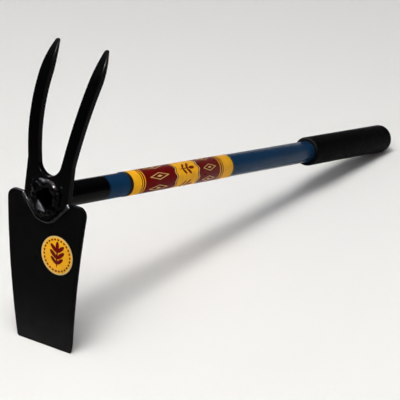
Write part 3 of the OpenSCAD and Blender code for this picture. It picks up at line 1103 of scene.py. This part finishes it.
class FORKHOE_OT_grip(bpy.types.Operator):
    """Model the rubber grip: rounded open rim, bore for the tube and rounded closed end"""

    bl_idname = "forkhoe.grip"
    bl_label = "Grip"

    def execute(self, context):
        sizes = context.scene.forkhoe_handle
        start = BARREL_MIDDLE - BARREL_HALF - sizes.rim_radius
        end = BARREL_MIDDLE + BARREL_HALF + sizes.end_radius
        grip = round_bar("rubber_grip", GRIP_RADIUS, start, end, "NGON")
        edit(grip)
        for level, radius, segments in ((end, sizes.end_radius, 12), (start, sizes.rim_radius, 6)):
            choose(grip, "EDGE", lambda edge: all(abs(vertex.co.y - level) < NEAR for vertex in edge.verts))
            bpy.ops.mesh.bevel(offset=radius, segments=segments)
        # Sink the bore into the open end, a face with a corner for each side
        choose(grip, "FACE", lambda face: len(face.verts) == BAR_SIDES and face.normal.y < 0)
        bore = TUBE_RADIUS + sizes.grip_gap
        bpy.ops.mesh.inset(thickness=(GRIP_RADIUS - sizes.rim_radius - bore) * math.cos(math.pi / BAR_SIDES))
        extrude(0, end - sizes.end_wall - start, 0)
        done()
        outward(grip)
        smooth(grip, angle=30)
        settle(grip, TOOL)
        dress(grip, grip_rubber(context.scene.forkhoe_colours), "grip_foam", "hand_grip")
        return {"FINISHED"}


class FORKHOE_OT_stage(bpy.types.Operator):
    """Set the floor, the studio light and the camera"""

    bl_idname = "forkhoe.stage"
    bl_label = "Stage"

    def execute(self, context):
        scene = context.scene
        clear_selection()
        bpy.ops.mesh.primitive_plane_add(size=FLOOR_WIDTH)
        floor = named("studio_floor")
        floor.data.materials.append(floor_finish(scene.forkhoe_colours))
        for lamp in LAMPS:
            self.lamp(*lamp)
        scene.world = self.sky()
        clear_selection()
        bpy.ops.object.camera_add(location=CAMERA_PLACE)
        camera = named("camera")
        self.aim(camera)
        camera.data.lens = CAMERA_LENS
        camera.data.shift_x = CAMERA_SHIFT
        scene.camera = camera
        scene.view_settings.view_transform = "Standard"
        return {"FINISHED"}

    def aim(self, item):
        """Turn a lamp or a camera to the tool."""
        item.rotation_euler = (CAMERA_TARGET - item.location).to_track_quat("-Z", "Y").to_euler()

    def sky(self):
        """A pale ceiling over walls that are as grey as the far floor."""
        recipe = Recipe("studio", "worlds", "Background")
        height = recipe.split(recipe.place())[2]
        ceiling = recipe.math("POWER", recipe.span(height, 0.0, 1.0, 0.0, 1.0), CEILING_FALLOFF)
        wall = recipe.span(height, 0.0, WALL_HEIGHT, WALL_FOOT, WALL_TOP)
        recipe.set(Color=SKY_COLOUR, Strength=recipe.math("ADD", ceiling, wall))
        return recipe.result

    def lamp(self, name, direction, distance, size, power, diffuse):
        """A square lamp that looks at the tool from a direction."""
        clear_selection()
        place = CAMERA_TARGET + Vector(direction).normalized() * distance
        bpy.ops.object.light_add(type="AREA", location=place)
        lamp = named(name)
        self.aim(lamp)
        lamp.data.size = size
        lamp.data.energy = power
        lamp.visible_diffuse = diffuse


PIECES = (
    FORKHOE_OT_fork, FORKHOE_OT_blade, FORKHOE_OT_welds, FORKHOE_OT_tube,
    FORKHOE_OT_wrap, FORKHOE_OT_sticker, FORKHOE_OT_grip, FORKHOE_OT_stage,
)
GROUPS = (
    ("forkhoe_fork", "Fork", ForkSizes),
    ("forkhoe_blade", "Blade", BladeSizes),
    ("forkhoe_handle", "Handle", HandleSizes),
    ("forkhoe_colours", "Colours", Colours),
)


class FORKHOE_PT_panel(bpy.types.Panel):
    """Lists the sizes, the colours and the pieces"""

    bl_label = "Fork Hoe"
    bl_idname = "FORKHOE_PT_panel"
    bl_space_type = "VIEW_3D"
    bl_region_type = "UI"
    bl_category = "Fork Hoe"

    def draw(self, context):
        for key, label, group in GROUPS:
            box = self.layout.box()
            box.label(text=label)
            for name in group.__annotations__:
                box.prop(getattr(context.scene, key), name)
        column = self.layout.column(align=True)
        for piece in PIECES:
            column.operator(piece.bl_idname)


CLASSES = (*(group for _, _, group in GROUPS), *PIECES, FORKHOE_PT_panel)


def register():
    for made in CLASSES:
        bpy.utils.register_class(made)
    for key, _, group in GROUPS:
        setattr(bpy.types.Scene, key, PointerProperty(type=group))


def unregister():
    for key, _, _ in GROUPS:
        delattr(bpy.types.Scene, key)
    for made in reversed(CLASSES):
        bpy.utils.unregister_class(made)


def main():
    register()
    bpy.ops.forkhoe.fork()
    bpy.ops.forkhoe.blade()
    bpy.ops.forkhoe.welds()
    bpy.ops.forkhoe.tube()
    bpy.ops.forkhoe.wrap()
    bpy.ops.forkhoe.sticker()
    bpy.ops.forkhoe.grip()
    bpy.ops.forkhoe.stage()


if __name__ == "__main__":
    main()
